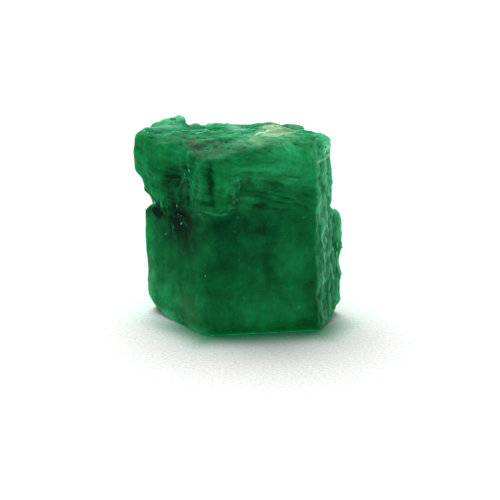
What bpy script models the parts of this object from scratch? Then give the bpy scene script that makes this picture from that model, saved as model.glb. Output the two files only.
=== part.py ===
"""Raw emerald crystal: one broken stub of a hexagonal prism, standing on its flat fractured end.

The stub is modelled in millimetres and scaled to metres at the end. Plan axes: +X right, +Y back, +Z up.
"""

import math

import bmesh
import bpy
from mathutils import Matrix, Vector, noise

# Driving dimensions, in millimetres unless a name says otherwise.
MM = 0.001
HEIGHT = 9.4  # foot to the main level of the broken top
BLANK_SIDE = 30.0  # side of the block that the crystal faces are cut from
VOXEL = 0.11  # grain that the joined forms are remeshed to
TRIANGLES = 8400  # what the even mesh is thinned to
FOOT_WEAR = 0.05  # how far the rim of the foot is worn back
CREASE = 28.0  # degrees between two facets above which their edge stays sharp
GREEN = (0.012, 0.130, 0.048, 1.0)  # linear base colour
ROUGHNESS = 0.3
BERYL_IOR = 1.58
CLARITY = 0.6  # share of the light that passes through instead of being scattered

# The six prism faces and a worn corner: direction of the outward normal in plan (degrees from +X), distance from the
# crystal's own axis at mid height, and how far the face leans (degrees, positive looks upwards).
PRISM_FACES = {
    "front": (-82, 3.20, 1.0),
    "left_corner": (248, 3.64, 1.6),
    "left_front": (218, 3.25, 2.1),
    "left_back": (158, 4.60, -3.5),
    "back": (98, 3.25, 1.5),
    "right_back": (38, 4.02, -1.0),
    "right": (-24.6, 4.52, 2.2),
}

# Broken flats that cut the prism's ends and corners: a point on the flat, the plan direction of
# its normal and how steeply that normal looks upwards (degrees).
BROKEN_FLATS = {
    "top_left": ((-2.6, 0.0, 9.15), 100, 87),
    "top_right": ((2.2, 0.0, 9.20), 60, 85),
    "front_bevel": ((2.5, -2.95, 7.90), -82, 16),
    "front_brow": ((2.0, -2.80, 8.60), -84, 42),
    "front_slope": ((-1.3, -3.4, 8.45), -124, 70),
    "back_right_slope": ((3.7, 1.3, 8.80), 40, 62),
    "foot_left": ((-4.20, 0.0, 0.52), 200, -28),
    "foot_right": ((4.9, -0.3, 0.45), -8, -40),
    "foot_back": ((0.0, 3.1, 0.35), 96, -50),
}

# Rounded lumps fused to the stub: centre, half sizes, turn (degrees about X, Y and Z), squareness.
LUMPS = {
    "left_shoulder": ((-3.62, 0.25, 8.02), (1.36, 1.20, 1.12), (0, 4, -52), 5.0),
    "shoulder_jaw": ((-3.62, 0.02, 7.10), (1.12, 1.00, 1.12), (0, 10, -52), 2.6),
    "tongue": ((-1.02, -2.72, 7.06), (1.12, 0.86, 1.52), (-4, 4, -6), 2.6),
    "top_flake": ((-3.48, 1.70, 8.85), (0.86, 0.85, 0.30), (24, -17, 10), 9.0),
    "flake_nub": ((-2.92, 2.15, 9.42), (0.22, 0.26, 0.19), (0, -10, 0), 2.4),
    "pale_mound": ((1.70, 0.80, 8.80), (1.05, 1.25, 0.50), (0, -6, 20), 2.2),
    "back_ridge": ((0.30, 2.75, 8.72), (1.60, 0.45, 0.30), (0, 2, 6), 2.2),
    "side_nub": ((4.38, -0.10, 6.20), (0.28, 0.45, 0.30), (0, 0, 0), 2.0),
    "side_swell": ((4.34, 0.25, 4.10), (0.50, 1.15, 1.62), (0, 0, 24), 2.6),
}

# Hollows broken out of the stub, written the same way.
HOLLOWS = {
    "right_ledge": ((6.08, 0.75, 8.62), (1.78, 2.60, 3.30), (0, 0, 8), 8.0),
    "notch": ((-5.30, 0.05, 5.66), (1.00, 2.30, 0.60), (0, 14, -22), 2.0),
    "notch_floor": ((-3.35, -2.00, 5.30), (1.25, 0.55, 1.00), (0, 0, -52), 2.2),
    "shoulder_hollow": ((-2.85, -2.20, 7.15), (0.72, 0.70, 1.15), (0, -6, -52), 2.4),
    "top_dip": ((-1.45, -0.60, 9.78), (1.25, 1.40, 0.80), (0, -4, 18), 2.0),
    "top_scoop": ((0.30, 2.10, 9.62), (0.90, 0.80, 0.72), (0, 6, 0), 2.0),
    "back_chip": ((-1.60, 4.05, 6.60), (1.60, 1.05, 1.50), (0, 20, 8), 2.2),
    "back_scar": ((3.10, 3.75, 2.30), (1.70, 0.95, 1.50), (0, -15, -30), 2.0),
    "back_scoop": ((0.60, 4.10, 4.80), (1.90, 0.95, 2.60), (0, -25, 4), 2.0),
}

# Soft relief on what faces forward: place across (X) and up (Z), half width, half height, how far it
# stands proud, and how steep its rim is (2 is a soft swell, 6 a plateau with a sharp edge).
FRONT_RELIEF = {
    "tongue_groove": (-1.28, 7.55, 0.24, 1.05, -0.17, 3),
    "corner_column": (-1.78, 7.50, 0.26, 1.10, 0.10, 3),
    "tongue_lobe": (-0.55, 7.30, 0.60, 0.90, 0.10, 3),
    "tongue_rim": (-1.05, 6.35, 0.85, 0.22, 0.16, 2),
    "under_tongue": (-0.80, 5.60, 1.40, 0.38, -0.10, 2),
    "ripple_bowl": (2.05, 7.25, 1.55, 0.90, -0.20, 2),
    "mid_pit": (1.85, 5.35, 0.42, 0.38, -0.10, 2),
    "foot_swell": (1.10, 0.90, 1.70, 0.90, 0.07, 2),
}


def direction(plan_degrees, rise_degrees):
    """Unit vector at a plan angle from +X and a rise above the horizontal."""
    plan = math.radians(plan_degrees)
    rise = math.radians(rise_degrees)
    level = math.cos(rise)
    return Vector((math.cos(plan) * level, math.sin(plan) * level, math.sin(rise)))


def cut_flat(bm, point, normal):
    """Cuts away everything on the normal's side of a plane and closes the cut with one face."""
    everything = bm.verts[:] + bm.edges[:] + bm.faces[:]
    cut = bmesh.ops.bisect_plane(
        bm, geom=everything, plane_co=point, plane_no=normal, clear_outer=True
    )
    rim = [item for item in cut["geom_cut"] if isinstance(item, bmesh.types.BMEdge)]
    bmesh.ops.holes_fill(bm, edges=rim)


def link(name, mesh):
    obj = bpy.data.objects.new(name, mesh)
    bpy.context.collection.objects.link(obj)
    return obj


def object_from(name, bm):
    bmesh.ops.recalc_face_normals(bm, faces=bm.faces)
    mesh = bpy.data.meshes.new(name)
    bm.to_mesh(mesh)
    bm.free()
    return link(name, mesh)


def evaluated_copy(obj):
    """The object with its modifiers applied, as a new plain mesh."""
    graph = bpy.context.evaluated_depsgraph_get()
    return bpy.data.meshes.new_from_object(obj.evaluated_get(graph))


def faceted_stub():
    """The prism with its six crystal faces and the flats broken across its ends."""
    bm = bmesh.new()
    bmesh.ops.create_cube(bm, size=BLANK_SIDE)
    for plan, distance, lean in PRISM_FACES.values():
        normal = direction(plan, lean)
        foot = direction(plan, 0) * distance
        cut_flat(bm, foot + Vector((0, 0, HEIGHT / 2)), normal)
    for point, plan, rise in BROKEN_FLATS.values():
        cut_flat(bm, Vector(point), direction(plan, rise))
    cut_flat(bm, Vector((0, 0, -VOXEL)), Vector((0, 0, -1)))
    return object_from("stub", bm)


def rounded_form(name, centre, half_sizes, turn, squareness):
    """A lump between an ellipsoid (squareness 2) and a rounded block (4 and more)."""
    bm = bmesh.new()
    bmesh.ops.create_icosphere(bm, subdivisions=4, radius=1)
    for vertex in bm.verts:
        reach = sum(abs(axis) ** squareness for axis in vertex.co) ** (1 / squareness)
        vertex.co /= reach
    form = object_from(name, bm)
    angles = [math.radians(angle) for angle in turn]
    spin = Matrix.Rotation(angles[2], 4, "Z") @ Matrix.Rotation(angles[1], 4, "Y")
    spin = spin @ Matrix.Rotation(angles[0], 4, "X")
    sizes = Matrix.Diagonal((*half_sizes, 1))
    form.data.transform(Matrix.Translation(centre) @ spin @ sizes)
    form.hide_render = True
    form.display_type = "WIRE"
    return form


def combine(stub):
    """Fuses the lumps, breaks out the hollows and evens the mesh."""
    for operation, forms in (("UNION", LUMPS), ("DIFFERENCE", HOLLOWS)):
        for name, shape in forms.items():
            boolean = stub.modifiers.new(name, "BOOLEAN")
            boolean.operation = operation
            boolean.object = rounded_form(name, *shape)
    remesh = stub.modifiers.new("grain", "REMESH")
    remesh.mode = "VOXEL"
    remesh.voxel_size = VOXEL
    return evaluated_copy(stub)


def bump(across, up, place_across, place_up, half_width, half_height, proud, steepness):
    """Height of one soft swell or hollow at a place on the front."""
    reach = math.hypot((across - place_across) / half_width, (up - place_up) / half_height)
    return proud * math.exp(-(reach**steepness))


def smooth_step(low, high, value):
    share = min(max((value - low) / (high - low), 0.0), 1.0)
    return share * share * (3 - 2 * share)


def ribs(point, spacing):
    """Ribs drawn out along an axis, wandering and pinching out: from 0 between them to 1 on top."""
    stretched = Vector([place / gap for place, gap in zip(point, spacing)])
    return 1 - 2 * abs(noise.noise(stretched + Vector((3.7, 1.3, 8.8))))


def terraces(point, spacing):
    """Growth terraces up a prism face: from 0 at the foot of each to 1 at its wandering brow."""
    phase = (point.z + 0.45 * noise.noise(point / 2.4)) / spacing
    climb = phase - math.floor(phase)
    return climb - smooth_step(0.74, 1.0, climb)


def relief_at(point, normal):
    """How far the surface stands proud of the joined forms at a point."""
    forward = smooth_step(0.25, 0.6, -normal.y)
    rightward = smooth_step(0.70, 0.85, normal.x)
    leftward = smooth_step(0.45, 0.7, -normal.x)
    upward = smooth_step(0.35, 0.75, normal.z)
    backward = smooth_step(0.3, 0.7, normal.y)
    cap = smooth_step(5.6, 6.4, point.z)
    height = 0.0
    for shape in FRONT_RELIEF.values():
        height += forward * bump(point.x, point.z, *shape)
    height += 0.13 * rightward * ribs(point, (0.5, 0.5, 1.7))
    height += 0.08 * backward * ribs(point, (0.7, 0.7, 3.4))
    height += 0.06 * leftward * (1 - cap) * terraces(point, 2.3)
    height += 0.12 * upward * ribs(point, (1.7, 0.5, 0.8))
    height += 0.09 * upward * noise.fractal(point / 0.8, 1.0, 2.0, 2)
    height += 0.10 * cap * (forward + leftward) * noise.fractal(point / 0.6, 1.0, 2.0, 2)
    height += 0.04 * noise.fractal(point / 1.3, 1.0, 2.0, 3)
    height -= FOOT_WEAR * (1 - smooth_step(0.0, 0.3, point.z))
    return height


def add_relief(mesh):
    """Moves each point of the even mesh in or out along its normal."""
    places = [
        vertex.co + vertex.normal * relief_at(vertex.co, vertex.normal)
        for vertex in mesh.vertices
    ]
    for vertex, place in zip(mesh.vertices, places):
        vertex.co = place


def thinned(mesh):
    """The even mesh thinned to large triangles where it is flat and small ones at its edges."""
    holder = link("even", mesh)
    decimate = holder.modifiers.new("thin", "DECIMATE")
    decimate.ratio = TRIANGLES / (2 * len(mesh.polygons))
    return evaluated_copy(holder)


def set_on_foot(mesh):
    """Cuts the foot flat at its level and puts the origin under the middle of the crystal."""
    bm = bmesh.new()
    bm.from_mesh(mesh)
    cut_flat(bm, Vector((0, 0, 0)), Vector((0, 0, -1)))
    spans = [[vertex.co[axis] for vertex in bm.verts] for axis in (0, 1)]
    middle = [(min(span) + max(span)) / 2 for span in spans]
    bmesh.ops.translate(bm, verts=bm.verts, vec=(-middle[0], -middle[1], 0))
    bmesh.ops.scale(bm, verts=bm.verts, vec=(MM, MM, MM))
    bm.to_mesh(mesh)
    bm.free()
    mesh.shade_smooth()
    mesh.set_sharp_from_angle(angle=math.radians(CREASE))


def emerald():
    """Green beryl that lets part of the light through."""
    material = bpy.data.materials.new("emerald")
    material.use_nodes = True
    surface = material.node_tree.nodes["Principled BSDF"].inputs
    surface["Base Color"].default_value = GREEN
    surface["Roughness"].default_value = ROUGHNESS
    surface["Metallic"].default_value = 0.0
    surface["IOR"].default_value = BERYL_IOR
    surface["Transmission Weight"].default_value = CLARITY
    return material


def clear_objects():
    for obj in list(bpy.data.objects):
        bpy.data.objects.remove(obj)


def main():
    clear_objects()
    mesh = combine(faceted_stub())
    add_relief(mesh)
    mesh = thinned(mesh)
    set_on_foot(mesh)
    clear_objects()
    crystal = link("emerald_crystal", mesh)
    crystal.data.materials.append(emerald())


main()
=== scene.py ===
import math

import bmesh
import bpy
from mathutils import Matrix, Vector
from mathutils.bvhtree import BVHTree


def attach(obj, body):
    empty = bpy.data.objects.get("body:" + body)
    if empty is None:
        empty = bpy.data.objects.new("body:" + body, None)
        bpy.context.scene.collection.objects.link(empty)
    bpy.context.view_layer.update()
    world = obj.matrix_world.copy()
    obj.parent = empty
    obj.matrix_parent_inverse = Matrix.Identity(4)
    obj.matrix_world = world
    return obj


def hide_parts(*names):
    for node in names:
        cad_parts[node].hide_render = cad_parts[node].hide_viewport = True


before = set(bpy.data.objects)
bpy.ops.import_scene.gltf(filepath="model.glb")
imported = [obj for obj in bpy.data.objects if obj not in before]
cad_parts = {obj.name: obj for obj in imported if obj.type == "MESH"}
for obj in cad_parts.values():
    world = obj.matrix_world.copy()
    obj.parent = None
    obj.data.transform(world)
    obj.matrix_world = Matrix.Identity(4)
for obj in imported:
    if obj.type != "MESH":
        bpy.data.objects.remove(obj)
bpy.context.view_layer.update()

millimetre = 0.001  # the crystal is worked in millimetres and brought back to metres at the end


def put(tree, kind, inputs=None, **settings):
    made = tree.nodes.new(kind)
    for name, value in settings.items():
        setattr(made, name, value)
    for name, value in (inputs or {}).items():
        feed(tree, made.inputs[name], value)
    return made


def feed(tree, socket, value):
    if isinstance(value, bpy.types.NodeSocket):
        tree.links.new(value, socket)
    else:
        socket.default_value = value


def calc(tree, operation, *values):
    made = tree.nodes.new("ShaderNodeMath")
    made.operation = operation
    for place, value in enumerate(values):
        feed(tree, made.inputs[place], value)
    return made.outputs[0]


def vector(tree, operation, *values, result=0):
    made = tree.nodes.new("ShaderNodeVectorMath")
    made.operation = operation
    for place, value in enumerate(values):
        feed(tree, made.inputs[place], value)
    return made.outputs[result]


def chain(tree, operation, values):
    level = values[0]
    for value in values[1:]:
        level = calc(tree, operation, level, value)
    return level


def product(tree, *values):
    return chain(tree, "MULTIPLY", values)


def ramp(tree, value, low, high, bottom=0.0, top=1.0):
    spread = put(
        tree, "ShaderNodeMapRange",
        {"Value": value, "From Min": low, "From Max": high, "To Min": bottom, "To Max": top},
        interpolation_type="SMOOTHSTEP",
    )
    return spread.outputs["Result"]


def noise(tree, place, scale, detail=2.0, roughness=0.5, distortion=0.0):
    made = put(tree, "ShaderNodeTexNoise", {
        "Vector": place, "Scale": scale, "Detail": detail, "Roughness": roughness, "Distortion": distortion,
    })
    return made.outputs["Fac"]


def ridges(tree, place, stretch, detail=2.0, distortion=0.0):
    # 1 along crests that are drawn out by the stretch in mm, falling below 0 between them
    level = noise(tree, vector(tree, "DIVIDE", place, stretch), 1.0, detail, 0.55, distortion)
    away = calc(tree, "ABSOLUTE", calc(tree, "SUBTRACT", level, 0.5))
    return calc(tree, "MULTIPLY_ADD", away, -5.0, 1.0)


def nearness(tree, place, centre, halfSizes, fray, softness=0.35):
    # 1 well inside an egg-shaped zone, 0 outside it, with an edge that the fray makes ragged
    away = vector(tree, "SUBTRACT", place, centre)
    reach = vector(tree, "LENGTH", vector(tree, "DIVIDE", away, halfSizes), result=1)
    return ramp(tree, calc(tree, "ADD", reach, fray), 0.9 + softness, 0.9 - softness)


def settle(obj):
    # the object's modifiers become its plain mesh
    graph = bpy.context.evaluated_depsgraph_get()
    mesh = bpy.data.meshes.new_from_object(obj.evaluated_get(graph))
    obj.modifiers.clear()
    obj.data = mesh
    return obj


def setInputs(modifier, values):
    for item in modifier.node_group.interface.items_tree:
        if item.in_out == "INPUT" and item.name in values:
            modifier[item.identifier] = values[item.name]


skin = {
    "grain": 0.068,  # mm, size of the skin's own faces
    "easing": 0.9,  # how far the broken forms are rounded off, 0 to 1
    "facetDepth": 0.10,  # mm, as every depth and height below
    "streakDepth": 0.035,
    "rippleDepth": 0.035,
    "hackleDepth": 0.030,
    "crumbleDepth": 0.065,
    "swellDepth": 0.035,
    "dustDepth": 0.014,
    "pitDepth": 0.06,
    "nubHeight": 0.06,
    "creaseDepth": 1.0,  # times each crease's own height
    "seed": 4.0,
    "lightRounds": 18,  # rounds of easing over the whole skin
    "heavyRounds": 60,  # more of them on the rounded ledges
    "facetSize": (0.50, 0.50, 1.10),  # mm, the bigger broken facets of the right side
    "scaleSize": (0.27, 0.27, 0.60),  # mm, the smaller ones among them
    "shardSize": (0.31, 0.31, 0.31),  # mm, shards in the crumbly zones
    "ribSize": (0.30, 0.30, 1.4),  # mm
    "ribDepth": 0.05,
    "streakSize": (1.3, 0.22, 0.22),  # mm
    "streakTurn": 24.0,  # degrees, the way the streaks run over the top
    "rippleSize": (1.5, 1.5, 0.30),  # mm
    "rippleTilt": -12.0,  # degrees
    "lineSize": (0.22, 0.22, 4.0),  # mm, fine upright lines on the back
    "lineDepth": 0.02,
    "pitsPerMm": 1.15,
    # noises: how many to the mm, detail, roughness and distortion
    "raggedNoise": (1.9, 3.0, 0.6),
    "frayNoise": (1.4, 2.0),
    "hackleNoise": (1.6, 3.0, 0.6, 0.4),
    "swellNoise": (0.9, 4.0, 0.62),
    "dustNoise": (7.0, 1.0),
    "nubNoise": (1.7, 1.0),
    "capStart": (5.6, 6.6),  # mm up, where the rippled upper part of the front begins
    "flakeCalm": 0.6,  # how much of the relief the thin flake loses
    # zones with a broken, crumbly skin: centre and half sizes (mm)
    "crumbly": {
        "notch": ((-3.2, -1.3, 5.45), (1.3, 1.4, 0.95)),
        "hollow": ((-2.7, -1.7, 7.1), (0.7, 0.9, 0.9)),
    },
    # ridges, grooves and seams with a place of their own: start, bend and end (mm), half width,
    # how far they stand proud and how pale they are. On the cracks and splinters the paleness is their own;
    # on the tongue's rims, the ripple glint and the highlight ridges it is painted highlight
    "creases": {
        # along the tongue's rims and hem the paleness is a painted catch-light
        "tongueRimLeft": ((-2.15, -3.0, 7.10), (-2.00, -3.3, 6.40), (-1.46, -3.6, 6.15), 0.10, 0.03, 0.05),
        "tongueRimLow": ((-1.46, -3.6, 6.15), (-0.95, -3.6, 5.90), (-0.50, -3.5, 6.12), 0.08, 0.03, 0.28),
        "tongueRimRight": ((-0.50, -3.5, 6.12), (-0.35, -3.5, 6.30), (-0.28, -3.5, 6.62), 0.08, 0.03, 0.04),
        "tongueHem": ((-0.28, -3.5, 6.62), (0.05, -3.2, 6.90), (0.75, -3.1, 6.72), 0.08, 0.02, 0.15),
        "grooveFloor": ((-1.27, -3.25, 8.50), (-1.34, -3.3, 7.50), (-1.12, -3.5, 6.70), 0.17, -0.08, 0.0),
        "columnBack": ((-1.70, -3.2, 8.55), (-1.66, -3.5, 7.70), (-1.75, -3.45, 6.80), 0.15, 0.04, 0.03),
        "shoulderSeam": ((-3.05, -1.7, 8.50), (-3.15, -1.5, 7.60), (-2.80, -1.7, 6.60), 0.16, -0.08, 0.0),
        "rippleOne": ((-0.10, -3.3, 8.20), (1.20, -3.0, 8.40), (2.70, -2.8, 7.85), 0.14, 0.035, 0.12),
        "rippleTwo": ((0.00, -3.2, 7.75), (1.10, -3.0, 7.95), (2.30, -2.8, 7.40), 0.12, 0.03, 0.10),
        "rippleThree": ((0.60, -3.1, 7.30), (1.60, -2.9, 7.45), (3.10, -2.7, 7.00), 0.12, 0.02, 0.08),
        # painted glint on a ripple
        "rippleGlint": ((2.15, -2.85, 7.72), (2.50, -2.8, 7.68), (2.90, -2.75, 7.56), 0.035, 0.015, 0.40),
        "sideCrack": ((3.80, -2.35, 8.36), (4.20, -1.6, 8.36), (4.55, -0.80, 8.40), 0.042, 0.02, 1.0),
        # painted highlight on the corner, on a raised bump
        "cornerHighlightRidge": ((4.18, -1.50, 8.84), (4.26, -1.27, 8.90), (4.33, -1.05, 8.86), 0.14, 0.07, 0.60),
        "cornerSeam": ((3.68, -0.6, 9.30), (3.60, -2.4, 9.10), (3.57, -2.6, 8.15), 0.065, -0.04, 0.0),
        # painted highlight on the nub
        "nubHighlightRidge": ((-2.98, 2.2, 9.60), (-2.88, 2.2, 9.62), (-2.78, 2.2, 9.60), 0.15, 0.06, 0.35),
        "flakeDip": ((-3.90, 2.0, 9.45), (-3.50, 2.1, 9.50), (-3.24, 2.2, 9.55), 0.16, -0.08, 0.0),
        "bulgeShave": ((4.80, -0.5, 5.85), (5.10, 0.2, 5.75), (5.15, 0.9, 5.75), 0.34, -0.20, 0.0),
        "waistFill": ((5.00, 0.0, 3.05), (5.05, 0.4, 3.00), (5.05, 0.8, 3.00), 0.28, 0.10, 0.0),
        "skyBump": ((-1.25, 2.5, 9.15), (-1.05, 2.5, 9.17), (-0.85, 2.5, 9.15), 0.15, 0.08, 0.10),
        "farBump": ((2.48, 1.7, 9.20), (2.72, 1.7, 9.17), (2.98, 1.6, 9.13), 0.30, 0.19, 0.0),
        "farEdge": ((3.10, 1.4, 9.10), (3.35, 0.9, 9.12), (3.60, 0.2, 9.20), 0.25, 0.06, 0.0),
        "ledgeFill": ((-4.72, 0.1, 9.20), (-4.60, 0.6, 9.20), (-4.40, 1.1, 9.20), 0.28, 0.09, 0.0),
        "paleSplinter": ((0.85, -0.75, 9.31), (1.15, -0.3, 9.33), (1.50, 0.20, 9.33), 0.055, 0.05, 1.0),
        "topArc": ((-2.05, 0.10, 9.10), (-1.60, 0.90, 9.15), (-1.20, 0.70, 9.15), 0.035, 0.01, 0.6),
    },
    # ledges that weathering has rounded off: centre and half sizes (mm)
    "rounded": {
        "shoulderLedge": ((-3.3, -1.0, 8.7), (1.6, 1.2, 0.9)),
        "brow": ((1.6, -2.5, 8.9), (3.2, 0.9, 0.8)),
        "tongueFoot": ((-1.0, -3.5, 6.10), (1.3, 0.5, 0.40)),
        "columnSide": ((-2.0, -3.2, 7.00), (0.25, 0.6, 1.1)),
        "frontCorner": ((-1.6, -3.2, 2.2), (0.7, 0.8, 3.6)),
        "bulgeTop": ((5.1, 0.3, 5.9), (0.5, 0.9, 0.5)),
    },
    # the thin flake at the back of the top keeps its sharp outline: centre and half sizes (mm)
    "thinFlake": ((-3.4, 1.8, 9.2), (1.3, 1.2, 0.7)),
}


def skinMesh():
    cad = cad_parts["emerald_crystal"]
    bm = bmesh.new()
    bm.from_mesh(cad.data)
    bmesh.ops.remove_doubles(bm, verts=bm.verts, dist=1e-7)
    bmesh.ops.scale(bm, verts=bm.verts, vec=(1 / millimetre,) * 3)
    mesh = bpy.data.meshes.new("emerald")
    bm.to_mesh(mesh)
    bm.free()
    return mesh


def alongCrease(tree, stone, start, bend, end, halfWidth):
    # 1 on the crease's line, which is laid on the stone, and 0 a few half widths away from it
    line = put(
        tree, "GeometryNodeCurveQuadraticBezier",
        {"Resolution": 24, "Start": start, "Middle": bend, "End": end},
    )
    below = put(tree, "GeometryNodeProximity", {"Geometry": stone}, target_element="FACES")
    laid = put(
        tree, "GeometryNodeSetPosition",
        {"Geometry": line.outputs[0], "Position": below.outputs["Position"]},
    )
    wire = put(tree, "GeometryNodeCurveToMesh", {"Curve": laid.outputs[0]})
    near = put(tree, "GeometryNodeProximity", {"Geometry": wire.outputs[0]}, target_element="EDGES")
    away = calc(tree, "DIVIDE", near.outputs["Distance"], halfWidth)
    return calc(tree, "EXPONENT", product(tree, away, away, -1.0))


def blur(tree, value, rounds, kind="FLOAT"):
    made = put(tree, "GeometryNodeBlurAttribute", {"Value": value, "Iterations": rounds}, data_type=kind)
    return made.outputs[0]


def plates(tree, place, sizes):
    # loose broken facets of the given sizes: distance from each one's middle, its own number, its slope
    scaled = vector(tree, "DIVIDE", place, sizes)
    cells = put(tree, "ShaderNodeTexVoronoi", {"Vector": scaled, "Scale": 1.0, "Randomness": 1.0})
    own = put(tree, "ShaderNodeSeparateXYZ", {"Vector": cells.outputs["Color"]}).outputs[0]
    across = vector(tree, "SUBTRACT", scaled, cells.outputs["Position"])
    lean = vector(tree, "SUBTRACT", cells.outputs["Color"], (0.5, 0.5, 0.5))
    return cells.outputs["Distance"], own, vector(tree, "DOT_PRODUCT", across, lean, result=1)


def turned(tree, place, degrees, axis="Z_AXIS"):
    turn = {"Vector": place, "Angle": math.radians(degrees)}
    return put(tree, "ShaderNodeVectorRotate", turn, rotation_type=axis).outputs[0]


def reliefTree():
    tree = bpy.data.node_groups.new("crystalRelief", "GeometryNodeTree")
    face = tree.interface
    face.new_socket("Geometry", in_out="INPUT", socket_type="NodeSocketGeometry")
    for name in ("Easing", "Facet Depth", "Streak Depth", "Ripple Depth", "Hackle Depth", "Crumble Depth",
                 "Swell Depth", "Dust Depth", "Pit Depth", "Nub Height", "Crease Depth", "Seed"):
        face.new_socket(name, in_out="INPUT", socket_type="NodeSocketFloat")
    face.new_socket("Finish", in_out="INPUT", socket_type="NodeSocketMaterial")
    face.new_socket("Geometry", in_out="OUTPUT", socket_type="NodeSocketGeometry")
    given = put(tree, "NodeGroupInput").outputs
    place = put(tree, "GeometryNodeInputPosition").outputs[0]
    offset = put(tree, "ShaderNodeCombineXYZ", {"X": given["Seed"]}).outputs[0]
    seeded = vector(tree, "ADD", place, offset)
    normal = put(tree, "GeometryNodeInputNormal").outputs[0]
    facing = put(tree, "ShaderNodeSeparateXYZ", {"Vector": blur(tree, normal, 10, "FLOAT_VECTOR")}).outputs
    slope = put(tree, "ShaderNodeSeparateXYZ", {"Vector": blur(tree, normal, 24, "FLOAT_VECTOR")}).outputs
    height = put(tree, "ShaderNodeSeparateXYZ", {"Vector": place}).outputs["Z"]

    ragged = calc(tree, "MULTIPLY_ADD", noise(tree, seeded, *skin["raggedNoise"]), 0.7, -0.35)
    right = ramp(tree, calc(tree, "ADD", facing["X"], ragged), 0.42, 0.66)
    left = ramp(tree, facing["X"], -0.45, -0.7)
    top = ramp(tree, slope["Z"], 0.30, 0.85)
    front = ramp(tree, facing["Y"], -0.3, -0.7)
    back = ramp(tree, facing["Y"], 0.3, 0.7)
    cap = ramp(tree, height, *skin["capStart"])
    fray = calc(tree, "MULTIPLY_ADD", noise(tree, seeded, *skin["frayNoise"]), 1.2, -0.6)
    zones = [nearness(tree, place, *zone, fray) for zone in skin["crumbly"].values()]
    crumble = chain(tree, "MAXIMUM", zones)
    rough = chain(tree, "MAXIMUM", [right, product(tree, top, 0.5), product(tree, cap, 0.6), crumble])

    wander = put(tree, "ShaderNodeTexNoise", {"Vector": seeded, "Scale": 1.3, "Detail": 1.0})
    wander = vector(tree, "SUBTRACT", wander.outputs["Color"], (0.5, 0.5, 0.5))
    wander = vector(tree, "MULTIPLY", wander, (0.5, 0.5, 0.9))
    wander = vector(tree, "ADD", seeded, wander)
    facetMiddle, facetOwn, facetTilt = plates(tree, wander, skin["facetSize"])
    _, _, scaleTilt = plates(tree, wander, skin["scaleSize"])
    facets = calc(tree, "MULTIPLY_ADD", facetTilt, 2.2, calc(tree, "MULTIPLY_ADD", facetOwn, 0.6, -0.3))
    facets = calc(tree, "MULTIPLY_ADD", scaleTilt, 1.2, facets)
    facets = blur(tree, calc(tree, "MINIMUM", calc(tree, "MAXIMUM", facets, -0.5), 0.5), 2)
    ribs = ridges(tree, seeded, skin["ribSize"], 2.0, 0.5)
    streaks = ridges(tree, turned(tree, seeded, skin["streakTurn"]), skin["streakSize"], 3.0, 0.4)
    tilted = turned(tree, seeded, skin["rippleTilt"], "Y_AXIS")
    ripples = ridges(tree, tilted, skin["rippleSize"], 1.0, 0.6)
    lines = ridges(tree, seeded, skin["lineSize"], 1.0, 0.0)
    hackle = calc(tree, "MULTIPLY_ADD", noise(tree, seeded, *skin["hackleNoise"]), 2.0, -1.0)
    swell = calc(tree, "MULTIPLY_ADD", noise(tree, seeded, *skin["swellNoise"]), 2.0, -1.0)
    dust = calc(tree, "SUBTRACT", noise(tree, seeded, *skin["dustNoise"]), 0.5)
    nubs = ramp(tree, noise(tree, seeded, *skin["nubNoise"]), 0.54, 0.72)
    _, shardOwn, shardTilt = plates(tree, seeded, skin["shardSize"])
    shards = calc(tree, "MULTIPLY_ADD", shardTilt, 2.0, calc(tree, "SUBTRACT", shardOwn, 0.5))
    cells = {"Vector": seeded, "Scale": skin["pitsPerMm"], "Randomness": 1.0}
    cells = put(tree, "ShaderNodeTexVoronoi", cells)
    chosen = put(tree, "ShaderNodeSeparateXYZ", {"Vector": cells.outputs["Color"]}).outputs[0]
    chosen = calc(tree, "GREATER_THAN", chosen, 0.72)
    pit = product(tree, ramp(tree, cells.outputs["Distance"], 0.30, 0.08), chosen)

    levels = [
        product(tree, right, given["Facet Depth"], facets),
        product(tree, right, skin["ribDepth"], ribs),
        product(tree, top, given["Streak Depth"], streaks),
        product(tree, front, cap, given["Ripple Depth"], ripples),
        product(tree, back, skin["lineDepth"], lines),
        product(tree, top, given["Nub Height"], nubs),
        product(tree, given["Swell Depth"], swell),
        product(tree, rough, given["Hackle Depth"], hackle),
        product(tree, crumble, given["Crumble Depth"], shards),
        product(tree, given["Dust Depth"], dust),
        product(tree, rough, given["Pit Depth"], pit, -1.0),
    ]
    raised = []
    pale = []
    for start, bend, end, halfWidth, proud, paleness in skin["creases"].values():
        near = alongCrease(tree, given["Geometry"], start, bend, end, halfWidth)
        raised.append(product(tree, near, proud, given["Crease Depth"]))
        pale.append(product(tree, near, paleness))
    sharp = nearness(tree, place, *skin["thinFlake"], 0.0)
    calm = calc(tree, "MULTIPLY_ADD", sharp, -skin["flakeCalm"], 1.0)
    relief = product(tree, chain(tree, "ADD", levels), calm)
    relief = product(tree, chain(tree, "ADD", [relief] + raised), ramp(tree, height, 0.0, 0.25))

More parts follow.
